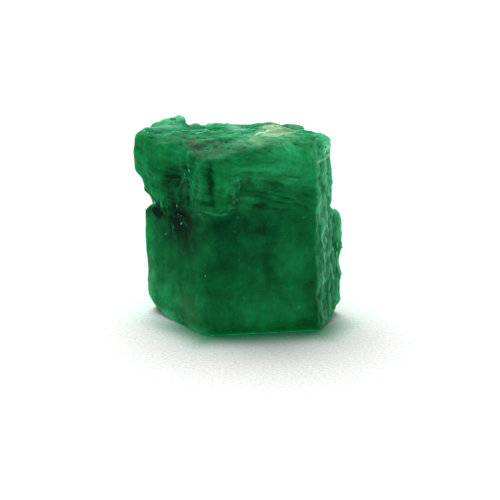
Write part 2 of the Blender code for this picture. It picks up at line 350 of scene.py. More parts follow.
    worn = calc(tree, "MULTIPLY_ADD", cap, 0.6, 0.4)
    worn = calc(tree, "MULTIPLY", worn, calc(tree, "MULTIPLY_ADD", sharp, -0.9, 1.0))
    worn = product(tree, worn, given["Easing"], ramp(tree, height, 0.0, 0.3))
    lightly = blur(tree, place, skin["lightRounds"], "FLOAT_VECTOR")
    ledge = chain(tree, "MAXIMUM", [nearness(tree, place, *zone, 0.0) for zone in skin["rounded"].values()])
    heavily = vector(tree, "SUBTRACT", blur(tree, lightly, skin["heavyRounds"], "FLOAT_VECTOR"), place)
    heavily = vector(tree, "SCALE", heavily)
    feed(tree, heavily.node.inputs["Scale"], product(tree, ledge, ramp(tree, height, 0.0, 0.6)))
    eased = vector(tree, "SUBTRACT", lightly, place)
    eased = vector(tree, "SCALE", eased)
    feed(tree, eased.node.inputs["Scale"], product(tree, worn, calc(tree, "SUBTRACT", 1.0, ledge)))
    eased = vector(tree, "ADD", eased, heavily)
    shift = vector(tree, "SCALE", normal)
    feed(tree, shift.node.inputs["Scale"], relief)
    kept = {
        "rightFace": right, "leftFace": left, "topFace": top, "cap": cap,
        "facet": facetOwn, "facetRim": facetMiddle, "streak": streaks, "ripple": ripples,
        "crumble": crumble, "pale": chain(tree, "MAXIMUM", pale),
    }
    result = given["Geometry"]
    for name, value in kept.items():
        result = storeValue(tree, result, name, value)
    result = put(
        tree, "GeometryNodeSetPosition",
        {"Geometry": result, "Offset": vector(tree, "ADD", shift, eased)},
    ).outputs[0]
    moved = put(tree, "GeometryNodeInputPosition").outputs[0]
    away = vector(tree, "SUBTRACT", moved, blur(tree, moved, 6, "FLOAT_VECTOR"))
    proud = vector(tree, "DOT_PRODUCT", away, put(tree, "GeometryNodeInputNormal").outputs[0], result=1)
    result = storeValue(tree, result, "edge", proud)
    smooth = put(tree, "GeometryNodeSetShadeSmooth", {"Geometry": result})
    real = put(tree, "GeometryNodeRealizeInstances", {"Geometry": smooth.outputs[0]}).outputs[0]
    dressed = put(tree, "GeometryNodeSetMaterial", {"Geometry": real, "Material": given["Finish"]})
    tree.links.new(dressed.outputs[0], put(tree, "NodeGroupOutput").inputs[0])
    return tree


def storeValue(tree, geometry, name, value):
    kept = put(
        tree, "GeometryNodeStoreNamedAttribute", {"Geometry": geometry, "Name": name, "Value": value},
        data_type="FLOAT", domain="POINT",
    )
    return kept.outputs[0]


def makeSkin(finish):
    obj = bpy.data.objects.new("emerald", skinMesh())
    bpy.context.scene.collection.objects.link(obj)
    remesh = obj.modifiers.new("evenGrain", "REMESH")
    remesh.mode = "VOXEL"
    remesh.voxel_size = skin["grain"]
    settle(obj)
    relief = obj.modifiers.new("relief", "NODES")
    relief.node_group = reliefTree()
    setInputs(relief, {
        "Easing": skin["easing"], "Facet Depth": skin["facetDepth"], "Streak Depth": skin["streakDepth"],
        "Ripple Depth": skin["rippleDepth"], "Hackle Depth": skin["hackleDepth"],
        "Crumble Depth": skin["crumbleDepth"], "Swell Depth": skin["swellDepth"],
        "Dust Depth": skin["dustDepth"], "Pit Depth": skin["pitDepth"], "Nub Height": skin["nubHeight"],
        "Crease Depth": skin["creaseDepth"], "Seed": skin["seed"], "Finish": finish,
    })
    settle(obj)
    obj.data.transform(Matrix.Scale(millimetre, 4))
    return obj


chips = {
    "perSquare": 6.0,  # on each square mm of the roughest skin
    "radius": 0.030,  # mm
    "smallest": 0.5,  # times that radius
    "largest": 1.5,
    "slim": (0.5, 0.4, 0.9),  # how the ball of a chip is squeezed and drawn out at least
    "stout": (1.0, 0.8, 1.8),  # and at most
    "anyTurn": 6.28,  # radians
    "onSide": 0.8,  # their share on each kind of skin
    "onTop": 0.3,
    "onCrumble": 0.15,
    "seed": 11,
    "tone": (0.06, 0.42, 0.21),
    # painted glint colour of the slivers
    "glintTone": (0.26, 1.0, 0.60),
    "shine": 0.10,
    "shineRoughness": 0.08,
    "roughness": (0.4, 0.15),  # on their dull and their bright spots
    # bright slivers with a place of their own, small chips coloured as painted glints: middle, half length
    # and half width (mm)
    "slivers": {
        "sideOne": ((4.37, -1.14, 4.80), 0.24, 0.050),
        "sideTwo": ((4.24, -1.74, 4.36), 0.24, 0.055),
        "sideThree": ((4.90, -0.68, 3.80), 0.20, 0.045),
        "sideFour": ((4.90, -0.68, 3.35), 0.14, 0.040),
        "sideFive": ((4.32, -1.78, 2.31), 0.26, 0.040),
        "sideSix": ((4.50, -1.44, 1.80), 0.24, 0.035),
        "sideSeven": ((5.00, -0.30, 6.05), 0.18, 0.050),
        "sideEight": ((4.05, -2.10, 5.45), 0.12, 0.040),
        "notchOne": ((-4.05, 0.0, 5.78), 0.09, 0.050),
        "notchTwo": ((-2.95, -1.5, 6.00), 0.07, 0.035),
        "notchThree": ((-2.75, -1.8, 5.20), 0.08, 0.040),
        "hollowOne": ((-2.6, -2.2, 7.85), 0.07, 0.030),
        "faceOne": ((-1.55, -3.32, 3.00), 0.07, 0.018),
        "topOne": ((-1.60, 0.75, 9.15), 0.12, 0.045),
        "topTwo": ((-1.25, 0.40, 9.15), 0.13, 0.040),
        "topThree": ((-0.35, 1.00, 9.20), 0.12, 0.040),
        "topFour": ((0.35, -1.05, 9.05), 0.10, 0.050),
        "topFive": ((-1.98, -0.30, 9.15), 0.09, 0.030),
        "ledgeOne": ((-4.58, 0.27, 9.20), 0.10, 0.040),
        "ledgeTwo": ((-4.40, 0.10, 9.20), 0.07, 0.035),
    },
}


def chipTree():
    tree = bpy.data.node_groups.new("glassChips", "GeometryNodeTree")
    face = tree.interface
    face.new_socket("Geometry", in_out="INPUT", socket_type="NodeSocketGeometry")
    for name in ("Per Square", "Radius", "Smallest", "Largest"):
        face.new_socket(name, in_out="INPUT", socket_type="NodeSocketFloat")
    face.new_socket("Seed", in_out="INPUT", socket_type="NodeSocketInt")
    face.new_socket("Finish", in_out="INPUT", socket_type="NodeSocketMaterial")
    face.new_socket("Geometry", in_out="OUTPUT", socket_type="NodeSocketGeometry")
    given = put(tree, "NodeGroupInput").outputs

    def read(name):
        return put(tree, "GeometryNodeInputNamedAttribute", {"Name": name}, data_type="FLOAT").outputs[0]

    crumbs = product(tree, read("crumble"), chips["onCrumble"])
    broken = calc(tree, "MULTIPLY_ADD", read("topFace"), chips["onTop"], crumbs)
    where = calc(tree, "MAXIMUM", product(tree, read("rightFace"), chips["onSide"]), broken)
    place = put(tree, "GeometryNodeInputPosition").outputs[0]
    height = put(tree, "ShaderNodeSeparateXYZ", {"Vector": place}).outputs["Z"]
    where = product(tree, where, ramp(tree, height, 0.3, 0.8))
    density = product(tree, where, given["Per Square"])
    spread = put(
        tree, "GeometryNodeDistributePointsOnFaces",
        {"Mesh": given["Geometry"], "Density": density, "Seed": given["Seed"]},
    )
    ball = put(tree, "GeometryNodeMeshIcoSphere", {"Radius": given["Radius"], "Subdivisions": 1})
    turn = put(
        tree, "FunctionNodeRandomValue",
        {"Min": (0, 0, 0), "Max": (chips["anyTurn"],) * 3, "Seed": given["Seed"]}, data_type="FLOAT_VECTOR",
    )
    stretch = put(tree, "FunctionNodeRandomValue", {"Seed": given["Seed"]}, data_type="FLOAT_VECTOR")
    for end, shape, size in (("Min", chips["slim"], "Smallest"), ("Max", chips["stout"], "Largest")):
        scaled = vector(tree, "SCALE", shape)
        feed(tree, scaled.node.inputs["Scale"], given[size])
        feed(tree, stretch.inputs[end], scaled)
    chip = put(
        tree, "GeometryNodeInstanceOnPoints",
        {"Points": spread.outputs["Points"], "Instance": ball.outputs[0], "Rotation": turn.outputs[0],
         "Scale": stretch.outputs[0]},
    )
    real = put(tree, "GeometryNodeRealizeInstances", {"Geometry": chip.outputs[0]}).outputs[0]
    dressed = put(tree, "GeometryNodeSetMaterial", {"Geometry": real, "Material": given["Finish"]})
    tree.links.new(dressed.outputs[0], put(tree, "NodeGroupOutput").inputs[0])
    return tree


ballFaces = 20  # faces of the little ball that every sliver is drawn out from


def addSlivers(mesh, skinOfStone):
    # each sliver is a little spindle that lies on the skin, upright or along it
    bm = bmesh.new()
    bm.from_mesh(mesh)
    for count, (centre, halfLength, halfWidth) in enumerate(chips["slivers"].values()):
        found, normal, _, _ = skinOfStone.find_nearest(Vector(centre))
        made = bmesh.ops.create_icosphere(bm, subdivisions=1, radius=1.0)["verts"]
        lean = 0.4 * math.sin(2.4 * count)
        along = Vector((0.0, lean, 1.0)) if abs(normal.z) < 0.7 else Vector((1.0, lean + 0.2, 0.0))
        side = normal.cross(along).normalized()
        along = side.cross(normal).normalized()
        frameOf = Matrix((side, along, normal)).transposed().to_4x4()
        sizes = Matrix.Diagonal((halfWidth, halfLength, 0.8 * halfWidth + 0.01, 1.0))
        bmesh.ops.transform(bm, matrix=Matrix.Translation(found) @ frameOf @ sizes, verts=made)
    bm.to_mesh(mesh)
    bm.free()


def makeChips(emerald, finish, glintFinish):
    mesh = emerald.data.copy()
    mesh.transform(Matrix.Scale(1 / millimetre, 4))
    skinOfStone = BVHTree.FromPolygons([v.co for v in mesh.vertices], [p.vertices for p in mesh.polygons])
    obj = bpy.data.objects.new("glassChips", mesh)
    bpy.context.scene.collection.objects.link(obj)
    scatter = obj.modifiers.new("scatter", "NODES")
    scatter.node_group = chipTree()
    setInputs(scatter, {
        "Per Square": chips["perSquare"], "Radius": chips["radius"], "Smallest": chips["smallest"],
        "Largest": chips["largest"], "Seed": chips["seed"], "Finish": finish,
    })
    settle(obj)
    addSlivers(obj.data, skinOfStone)
    obj.data.transform(Matrix.Scale(millimetre, 4))
    obj.data.materials.clear()
    obj.data.materials.append(finish)
    obj.data.materials.append(glintFinish)
    # the slivers' faces take the painted glint finish
    glintFaces = ballFaces * len(chips["slivers"])
    ordinary = len(obj.data.polygons) - glintFaces
    obj.data.polygons.foreach_set("material_index", [0] * ordinary + [1] * glintFaces)
    return obj


def chipFinish(name, colour):
    material = bpy.data.materials.new(name)
    material.use_nodes = True
    tree = material.node_tree
    surface = tree.nodes["Principled BSDF"]
    spots = put(tree, "ShaderNodeTexCoord").outputs["Object"]
    place = put(tree, "ShaderNodeMapping", {"Vector": spots, "Scale": (1 / millimetre,) * 3}).outputs[0]
    shade = ramp(tree, noise(tree, place, 2.5, 3.0, 0.7), 0.3, 0.7, 0.6, 1.0)
    tone = vector(tree, "SCALE", colour)
    feed(tree, tone.node.inputs["Scale"], shade)
    feed(tree, surface.inputs["Base Color"], tone)
    feed(tree, surface.inputs["Roughness"], ramp(tree, shade, 0.35, 1.0, *chips["roughness"]))
    surface.inputs["Coat Weight"].default_value = chips["shine"]
    surface.inputs["Specular IOR Level"].default_value = 0.0
    surface.inputs["Coat Roughness"].default_value = chips["shineRoughness"]
    return material


green = {
    "clarity": 0.05,  # share of the light that goes straight through
    "glassClarity": 0.22,  # the same in the thin glassy parts
    "ior": 1.58,
    "gloss": 0.0,  # the coat alone gives the gleam
    "absorb": (0.10, 0.57, 0.35),
    "absorbDensity": 260.0,  # per metre
    "softness": 0.0012,  # metres that light spreads under the skin
    "softnessByColour": (0.25, 1.0, 0.5),
    "sheen": 0.015,  # coat on the smooth faces
    "sideSheen": 0.28,  # coat on the frosted side
    "coatRoughness": 0.22,
    "roughness": (0.35, 0.5),  # of the smooth faces and the frosted side
    # how far the tones vary from place to place, in three sizes
    "mottle": 0.50,
    "blots": 0.26,
    "grain": 0.30,
    # noises: how many to the mm, detail, roughness and distortion
    "cloudNoise": (0.55, 4.0, 0.55, 0.6),
    "wispNoise": (1.5, 3.0, 0.5, 0.4),
    "wavyStretch": (0.7, 0.7, 1.4),
    "cloudyStretch": (1.1, 1.1, 0.8),
    "frayNoise": (1.3, 4.0, 0.65, 0.8),
    "blotNoise": (2.4, 2.0, 0.5, 0.5),
    "fineNoise": (6.0, 4.0, 0.65),
    "fleckNoise": (4.2, 2.0, 0.5, 0.5),
    "threadNoise": (1.0, 3.0, 0.6, 0.6),
    "threadStretch": (0.9, 6.0, 6.0),
    "veilSize": (2.6, 2.6, 1.2),  # mm
    "dustNoise": (16.0, 2.0, 0.6),
    # how much of its own tone each kind of mark shows, 0 to 1
    "capBright": 0.32,
    # painted shade on the faces turned left, where more light falls
    "leftSideShade": 0.35,
    "threadsPale": 0.25,
    "threadsDark": 0.30,
    "veils": 0.15,
    "ripples": 0.3,
    "seams": 0.5,
    "wornEdges": 0.4,
    # painted shade in the skin's sunk creases
    "recessShading": 0.5,
    "flecks": 0.35,
    "dustBump": 0.35,
    "dustDepth": 0.02,  # mm
    "tones": {
        "deep": (0.0008, 0.118, 0.029),
        "body": (0.0030, 0.180, 0.047),
        "bright": (0.0110, 0.310, 0.090),
        "vivid": (0.0320, 0.500, 0.180),
        "mint": (0.0900, 0.420, 0.210),
        "glass": (0.0700, 0.560, 0.250),
        "frost": (0.0230, 0.160, 0.070),
        "veil": (0.0800, 0.500, 0.250),
        "shade": (0.0006, 0.042, 0.012),
        "shale": (0.0015, 0.009, 0.0045),
        "umber": (0.0520, 0.270, 0.088),
        "bottle": (0.0005, 0.085, 0.020),
        "rust": (0.0280, 0.072, 0.042),
        "slate": (0.0180, 0.048, 0.028),
        "tan": (0.0750, 0.125, 0.065),
        # painted highlight tone, for the nub and the corner
        "paintedHighlight": (0.2200, 0.900, 0.500),
        "cream": (0.3300, 0.480, 0.270),
        "chalk": (0.1500, 0.430, 0.260),
        "white": (0.4500, 0.950, 0.700),
    },
    # inclusions of these tones have a clear edge, the others fade away
    "sharpTones": ("shale", "rust", "tan", "cream", "chalk", "glass", "paintedHighlight"),
    # clouds and inclusions under the skin, with painted shade in hollows, grooves and under overhangs,
    # painted light on a shadowed face and painted highlights: centre and half sizes (mm), tone and strength
    "patches": {
        "shoulder": ((-4.4, -0.3, 7.9), (1.0, 1.2, 1.5), "body", 0.9),
        "shoulderGlow": ((-4.6, -0.2, 8.3), (0.35, 0.8, 1.0), "bright", 0.45),
        "shoulderPale": ((-3.15, -1.3, 8.5), (0.8, 0.9, 0.6), "bright", 0.9),
        # painted shade under the shoulder's overhang
        "shadeUnderShoulder": ((-4.1, -0.9, 7.1), (0.5, 0.8, 0.5), "deep", 0.9),
        "ledgeShade": ((-3.9, -0.6, 8.9), (0.9, 0.8, 0.3), "body", 0.6),
        "hollowTop": ((-3.0, -1.3, 7.95), (0.35, 0.6, 0.4), "bright", 0.5),
        "leftEdge": ((-4.5, 0.2, 4.1), (0.36, 1.0, 1.4), "bright", 0.6),
        "leftCore": ((-3.0, -1.5, 4.2), (0.6, 0.7, 0.6), "shade", 0.5),
        "leftMiddle": ((-2.9, -1.7, 2.8), (1.1, 1.2, 1.1), "deep", 0.5),
        "leftFoot": ((-3.6, -0.8, 1.3), (1.0, 1.1, 1.1), "bright", 1.0),
        "leftDusk": ((-3.8, -0.6, 2.2), (0.40, 0.5, 0.55), "deep", 0.8),
        "leftRim": ((-4.4, 0.15, 1.5), (0.30, 0.6, 1.3), "veil", 0.5),
        "heelRim": ((-3.4, -1.2, 0.2), (0.8, 0.9, 0.35), "veil", 0.85),
        "toeRim": ((-2.1, -2.8, 0.15), (0.8, 0.9, 0.28), "veil", 0.7),
        "amberFoot": ((-2.3, -2.4, 0.9), (0.9, 1.0, 0.9), "umber", 0.5),
        "upperFront": ((2.0, -2.8, 8.0), (2.4, 0.9, 1.1), "bright", 0.95),
        "upperGlow": ((2.6, -2.7, 8.6), (1.1, 1.0, 0.85), "vivid", 0.9),
        "upperDusk": ((3.35, -2.6, 8.7), (0.35, 0.5, 0.4), "bright", 0.6),
        "tongue": ((-0.50, -3.5, 7.75), (0.65, 0.6, 0.7), "bright", 1.0),
        # painted shade under the tongue's rim, darkest in the two shale-toned cores
        "tongueRight": ((-0.15, -3.45, 6.45), (0.45, 0.6, 0.60), "shade", 0.90),
        "tongueLow": ((-1.15, -3.6, 6.15), (0.65, 0.5, 0.28), "shade", 0.7),
        "tongueLeft": ((-1.95, -3.2, 6.15), (0.50, 0.6, 0.50), "shade", 0.90),
        "tongueLeftShadeCore": ((-1.95, -3.2, 6.20), (0.25, 0.5, 0.25), "shale", 0.5),
        "tongueRightShadeCore": ((-0.15, -3.45, 6.42), (0.25, 0.5, 0.30), "shale", 0.5),
        "tongueEdge": ((0.10, -3.3, 7.2), (0.35, 0.5, 0.4), "deep", 0.8),
        "rippleShade": ((1.25, -2.9, 7.20), (0.9, 0.5, 0.50), "deep", 0.9),
        "rippleDusk": ((2.5, -2.7, 7.8), (0.7, 0.5, 0.25), "deep", 0.5),
        "column": ((-1.75, -3.4, 7.6), (0.28, 0.6, 1.1), "body", 0.6),
        "columnDusk": ((-2.05, -3.0, 7.3), (0.40, 0.5, 0.9), "deep", 0.7),
        "columnTop": ((-1.65, -2.9, 8.6), (0.4, 0.5, 0.3), "shade", 0.4),
        # painted shade at the column's foot, under the tongue's rim
        "columnFoot": ((-2.0, -3.1, 6.75), (0.35, 0.5, 0.4), "shade", 0.7),
        # painted shade in the groove
        "groove": ((-1.20, -3.4, 7.7), (0.18, 0.5, 1.0), "deep", 0.9),
        # painted shade in the upper hollow beside the column
        "columnShade": ((-2.4, -1.9, 7.75), (0.40, 0.6, 0.8), "shade", 0.95),
        "hollowFoot": ((-2.95, -1.3, 6.35), (0.45, 0.6, 0.38), "shale", 0.75),
        # painted shade in the hollow
        "hollow": ((-3.05, -1.2, 6.95), (0.55, 0.7, 1.0), "shade", 1.0),
        "hollowPale": ((-2.55, -1.7, 6.95), (0.30, 0.5, 0.45), "frost", 0.7),
        # painted shade under the tongue
        "shadeUnderTongue": ((-0.3, -3.2, 5.4), (1.4, 0.6, 0.6), "shade", 0.65),
        "middle": ((0.0, -3.2, 4.0), (1.3, 0.8, 1.5), "deep", 0.5),
        "haze": ((2.6, -2.9, 3.6), (0.9, 0.6, 1.2), "bright", 0.45),
        "lowerFront": ((1.0, -3.0, 1.1), (2.9, 0.8, 1.2), "bright", 1.0),
        "footDusk": ((0.8, -3.1, 2.0), (0.7, 0.5, 0.45), "body", 0.7),
        "footShade": ((3.5, -2.8, 2.15), (0.35, 0.5, 0.65), "shade", 0.45),
        "footEdge": ((3.9, -2.7, 1.4), (0.35, 0.4, 0.6), "shade", 0.5),
        "footSpeck": ((3.6, -2.8, 2.4), (0.14, 0.4, 0.22), "shade", 0.6),
        "cornerShade": ((3.4, -2.7, 0.45), (0.7, 0.8, 0.30), "deep", 0.5),
        "pit": ((1.22, -3.0, 5.2), (0.25, 0.4, 0.25), "shade", 0.8),
        "spot": ((0.93, -3.0, 6.3), (0.40, 0.5, 0.30), "shade", 0.7),
        "notchVeil": ((-2.8, -1.7, 5.0), (1.50, 1.5, 1.15), "shade", 0.95),
        "notchTail": ((-2.1, -2.6, 4.6), (0.6, 0.6, 0.7), "shade", 0.6),
        "notchEnd": ((-4.5, 0.7, 5.2), (0.35, 0.6, 0.30), "shade", 0.8),
        "notchShale": ((-2.7, -1.75, 5.60), (1.25, 1.2, 0.95), "shale", 0.97),
        "notchTip": ((-4.0, -0.2, 5.45), (0.60, 0.8, 0.45), "shale", 0.97),
        # painted shade on the underside of the lip over the notch
        "lipShade": ((-4.35, 0.2, 6.12), (0.4, 0.8, 0.5), "shade", 0.95),
        "notchLip": ((-4.25, 0.15, 5.74), (0.22, 0.4, 0.15), "veil", 0.6),
        "rust": ((-1.5, -1.6, 9.0), (1.05, 1.4, 0.5), "rust", 0.80),
        "rustLens": ((-1.45, -1.75, 9.0), (0.75, 0.6, 0.3), "slate", 0.5),
        "rustRim": ((-2.10, -1.1, 9.05), (0.28, 0.45, 0.3), "tan", 0.55),
        "topGreen": ((-1.2, 1.6, 9.15), (0.8, 1.0, 0.5), "bottle", 1.0),
        "topChalk": ((0.0, 1.3, 9.15), (0.6, 1.0, 0.5), "chalk", 0.8),
        "topHollow": ((0.8, 1.45, 9.2), (0.45, 0.6, 0.3), "shade", 0.75),
        "backRim": ((-1.6, 2.5, 9.15), (1.5, 0.4, 0.25), "mint", 0.8),
        "browPale": ((0.5, -2.1, 9.2), (1.1, 0.6, 0.3), "chalk", 0.45),
        "creamEdge": ((1.6, -1.2, 9.2), (1.1, 1.3, 0.6), "mint", 0.9),
        "creamLow": ((1.1, -1.6, 9.28), (0.65, 0.9, 0.3), "cream", 0.4),
        "creamRight": ((2.8, 0.3, 9.3), (0.6, 1.0, 0.4), "mint", 0.5),
        "cream": ((1.9, -0.1, 9.3), (1.0, 1.5, 0.6), "cream", 0.85),
        "creamBack": ((1.70, 1.5, 9.3), (0.60, 1.4, 0.4), "cream", 0.85),
        "farPale": ((2.85, 1.6, 9.25), (0.50, 0.5, 0.25), "chalk", 0.7),
        "topRight": ((3.4, 0.0, 9.2), (1.0, 1.6, 0.5), "body", 0.6),
        "sideFoot": ((4.6, -1.0, 1.6), (1.0, 2.4, 1.9), "body", 0.6),
        "sideHeel": ((4.7, -1.1, 0.65), (0.7, 1.3, 0.6), "body", 0.6),
        "sideTop": ((4.5, -0.9, 7.8), (0.35, 0.6, 0.5), "veil", 0.4),
        "sideUpper": ((4.45, -1.0, 6.9), (0.4, 0.7, 0.7), "veil", 0.25),
        "sideEdge": ((4.1, -1.9, 6.8), (0.3, 0.5, 1.0), "deep", 0.5),
        "sideDusk": ((4.35, -1.55, 4.2), (0.3, 0.5, 0.6), "deep", 0.8),
        "sideLow": ((4.6, -1.3, 2.2), (0.45, 0.7, 0.8), "body", 0.7),
        # painted light on the bulge's front, which lies in its own shadow
        "bulgePaintedLight": ((4.95, -0.6, 4.9), (0.4, 0.5, 1.0), "veil", 0.5),
        "bulgeEdge": ((5.20, 0.4, 4.4), (0.3, 0.7, 1.1), "deep", 0.9),
        "sideMiddle": ((4.2, -1.8, 4.7), (0.35, 0.6, 0.8), "body", 0.5),
        "flake": ((-3.5, 1.7, 9.45), (1.2, 1.2, 0.5), "glass", 0.9),
        "flakeFoot": ((-3.4, 0.95, 9.25), (0.9, 0.5, 0.25), "frost", 0.6),
        "flakeEdge": ((-4.3, 2.0, 9.2), (0.4, 0.6, 0.25), "frost", 0.5),
        "nubFoot": ((-2.3, 2.1, 9.25), (0.40, 0.4, 0.25), "mint", 0.7),
        # painted highlight on the nub
        "nub": ((-2.91, 2.2, 9.65), (0.40, 0.5, 0.25), "paintedHighlight", 0.7),
        "corner": ((4.35, -1.2, 8.85), (0.8, 1.2, 0.75), "glass", 1.0),
        "cornerPanel": ((3.78, -2.2, 8.8), (0.38, 0.5, 0.7), "veil", 0.65),
        "cornerTop": ((4.3, -1.0, 9.3), (0.5, 0.8, 0.2), "frost", 0.5),
        # painted highlight on the corner
        "cornerHighlightPatch": ((4.26, -1.27, 8.88), (0.34, 0.50, 0.30), "paintedHighlight", 1.0),
        "mottle": ((1.7, -2.9, 6.6), (1.5, 0.6, 0.6), "shade", 0.35),
    },
    # thin glassy parts that let more light through: centre and half sizes (mm)
    "clearParts": {
        "flake": ((-3.5, 1.8, 9.35), (1.1, 1.0, 0.35)),
        "nub": ((-2.92, 2.15, 9.50), (0.35, 0.35, 0.30)),
        "corner": ((4.7, -0.5, 8.9), (0.35, 0.5, 0.5)),
    },
}


def emeraldFinish():
    tones = green["tones"]
    material = bpy.data.materials.new("emeraldFinish")
    material.use_nodes = True
    tree = material.node_tree
    surface = tree.nodes["Principled BSDF"]
    output = tree.nodes["Material Output"]
    spots = put(tree, "ShaderNodeTexCoord").outputs["Object"]
    place = put(tree, "ShaderNodeMapping", {"Vector": spots, "Scale": (1 / millimetre,) * 3}).outputs[0]

    def attribute(name):
        return put(tree, "ShaderNodeAttribute", attribute_name=name).outputs["Fac"]

    def blend(share, first, second):
        mix = put(tree, "ShaderNodeMix", data_type="RGBA")
        feed(tree, mix.inputs["Factor"], share)
        for socket, colour in ((mix.inputs["A"], first), (mix.inputs["B"], second)):
            feed(tree, socket, (*colour, 1.0) if isinstance(colour, tuple) else colour)
        return mix.outputs["Result"]

    clouds = noise(tree, place, *green["cloudNoise"])
    wavy = noise(tree, vector(tree, "MULTIPLY", place, green["wavyStretch"]), *green["wispNoise"])
    cloudy = noise(tree, vector(tree, "MULTIPLY", place, green["cloudyStretch"]), *green["wispNoise"])
    fray = calc(tree, "MULTIPLY_ADD", noise(tree, place, *green["frayNoise"]), 1.6, -0.8)
    blots = noise(tree, place, *green["blotNoise"])
    fine = noise(tree, place, *green["fineNoise"])
    flecks = noise(tree, place, *green["fleckNoise"])
    right = attribute("rightFace")
    top = attribute("topFace")
    left = attribute("leftFace")
    edge = attribute("edge")
    cap = attribute("cap")
    across = put(tree, "ShaderNodeSeparateXYZ", {"Vector": place}).outputs["X"]
    rippled = product(tree, cap, ramp(tree, across, -2.2, -1.2))
    wisps = calc(tree, "MULTIPLY_ADD", rippled, calc(tree, "SUBTRACT", wavy, cloudy), cloudy)

    colour = blend(ramp(tree, clouds, 0.35, 0.65), tones["deep"], tones["body"])
    # painted shade on the faces turned left, where more light falls
    colour = blend(product(tree, left, green["leftSideShade"]), colour, tones["deep"])
    colour = blend(product(tree, cap, green["capBright"]), colour, tones["bright"])
    scaly = calc(tree, "MULTIPLY_ADD", attribute("facet"), 0.85, 0.12)
    colour = blend(product(tree, right, scaly), colour, tones["veil"])
    streaky = calc(tree, "MULTIPLY_ADD", attribute("streak"), 0.25, 0.6)
    colour = blend(product(tree, top, streaky), colour, tones["frost"])
    along = vector(tree, "MULTIPLY", turned(tree, place, skin["streakTurn"]), green["threadStretch"])
    threads = noise(tree, along, *green["threadNoise"])
    for centre, halfSizes, tone, strength in green["patches"].values():
        softness = 0.35 if tone in green["sharpTones"] else 0.75
        share = product(tree, nearness(tree, place, centre, halfSizes, fray, softness), strength)
        colour = blend(share, colour, tones[tone])
    palely = product(tree, top, ramp(tree, threads, 0.50, 0.75), green["threadsPale"])
    colour = blend(palely, colour, tones["mint"])
    darkly = product(tree, top, ramp(tree, threads, 0.48, 0.28), green["threadsDark"])
    colour = blend(darkly, colour, tones["deep"])
    veils = ramp(tree, ridges(tree, place, green["veilSize"], 0.0, 0.3), 0.2, 1.0)
    veils = product(tree, veils, ramp(tree, wisps, 0.4, 0.7), green["veils"])
    colour = blend(veils, colour, tones["bright"])
    ripples = product(tree, cap, ramp(tree, attribute("ripple"), 0.3, 1.0), green["ripples"])
    colour = blend(ripples, colour, tones["bright"])
    zones = [nearness(tree, place, *zone, fray) for zone in green["clearParts"].values()]
    glassy = chain(tree, "MAXIMUM", zones)
    dull = calc(tree, "SUBTRACT", 1.0, glassy)
    seams = product(tree, ramp(tree, attribute("facetRim"), 0.50, 0.85), ramp(tree, wisps, 0.4, 0.6))
    colour = blend(product(tree, right, dull, seams, green["seams"]), colour, tones["deep"])
    worn = product(tree, ramp(tree, edge, 0.008, 0.035), ramp(tree, fine, 0.35, 0.6))
    intact = calc(tree, "SUBTRACT", 1.0, attribute("crumble"))
    colour = blend(product(tree, worn, intact, green["wornEdges"]), colour, tones["frost"])
    # painted shade in sunk creases and hollows of the skin
    recessShade = ramp(tree, edge, -0.002, -0.02)
    colour = blend(product(tree, recessShade, green["recessShading"]), colour, tones["shade"])
    flecks = ramp(tree, flecks, 0.68, 0.76)
    colour = blend(product(tree, flecks, green["flecks"]), colour, tones["veil"])
    # pale lines: the stone's own on cracks and splinters, painted highlight on the rims and highlight
    # ridges
    pale = attribute("pale")
    paleAndHighlightTone = blend(ramp(tree, pale, 0.3, 0.6), tones["veil"], tones["white"])
    colour = blend(product(tree, pale, ramp(tree, fine, 0.25, 0.5)), colour, paleAndHighlightTone)
    height = put(tree, "ShaderNodeSeparateXYZ", {"Vector": place}).outputs["Z"]

    strength = calc(tree, "MULTIPLY_ADD", cap, 0.35, 0.65)
    mottle = product(tree, calc(tree, "SUBTRACT", wisps, 0.5), strength, green["mottle"] * 2.5)
    grain = product(tree, calc(tree, "SUBTRACT", fine, 0.5), green["grain"] * 2.5)
    blotty = product(tree, calc(tree, "SUBTRACT", blots, 0.5), green["blots"] * 2.5)
    factor = chain(tree, "ADD", [mottle, blotty, grain, 1.0])
    # painted glow over the lowest half millimetre, and painted shade along the very bottom edge
    paintedFootGlow = ramp(tree, height, 0.05, 0.45, 1.12, 1.0)
    bottomEdgeShade = ramp(tree, height, 0.0, 0.1, 0.6, 1.0)
    factor = product(tree, factor, paintedFootGlow, bottomEdgeShade)
    varied = vector(tree, "SCALE", colour)
    feed(tree, varied.node.inputs["Scale"], calc(tree, "MAXIMUM", factor, 0.3))
    feed(tree, surface.inputs["Base Color"], varied)

    frosted = product(tree, right, scaly)
    gleam = product(tree, frosted, green["sideSheen"] - green["sheen"])
    feed(tree, surface.inputs["Coat Weight"], calc(tree, "ADD", gleam, green["sheen"]))
    clear = ramp(tree, glassy, 0.0, 1.0, green["clarity"], green["glassClarity"])
    feed(tree, surface.inputs["Transmission Weight"], clear)
    feed(tree, surface.inputs["Roughness"], ramp(tree, frosted, 0.0, 1.0, *green["roughness"]))
    dust = noise(tree, place, *green["dustNoise"])
    bump = put(tree, "ShaderNodeBump", {
        "Height": dust, "Strength": green["dustBump"], "Distance": green["dustDepth"] * millimetre,
    })
    tree.links.new(bump.outputs[0], surface.inputs["Normal"])
    tree.links.new(bump.outputs[0], surface.inputs["Coat Normal"])

    surface.inputs["Coat Roughness"].default_value = green["coatRoughness"]
    surface.inputs["IOR"].default_value = green["ior"]
    surface.inputs["Specular IOR Level"].default_value = green["gloss"]
    surface.inputs["Subsurface Weight"].default_value = 1.0
    surface.inputs["Subsurface Radius"].default_value = green["softnessByColour"]
    surface.inputs["Subsurface Scale"].default_value = green["softness"]
    depth = put(tree, "ShaderNodeVolumeAbsorption", {"Density": green["absorbDensity"]})
    depth.inputs["Color"].default_value = (*green["absorb"], 1.0)
    tree.links.new(depth.outputs[0], output.inputs["Volume"])
    return material


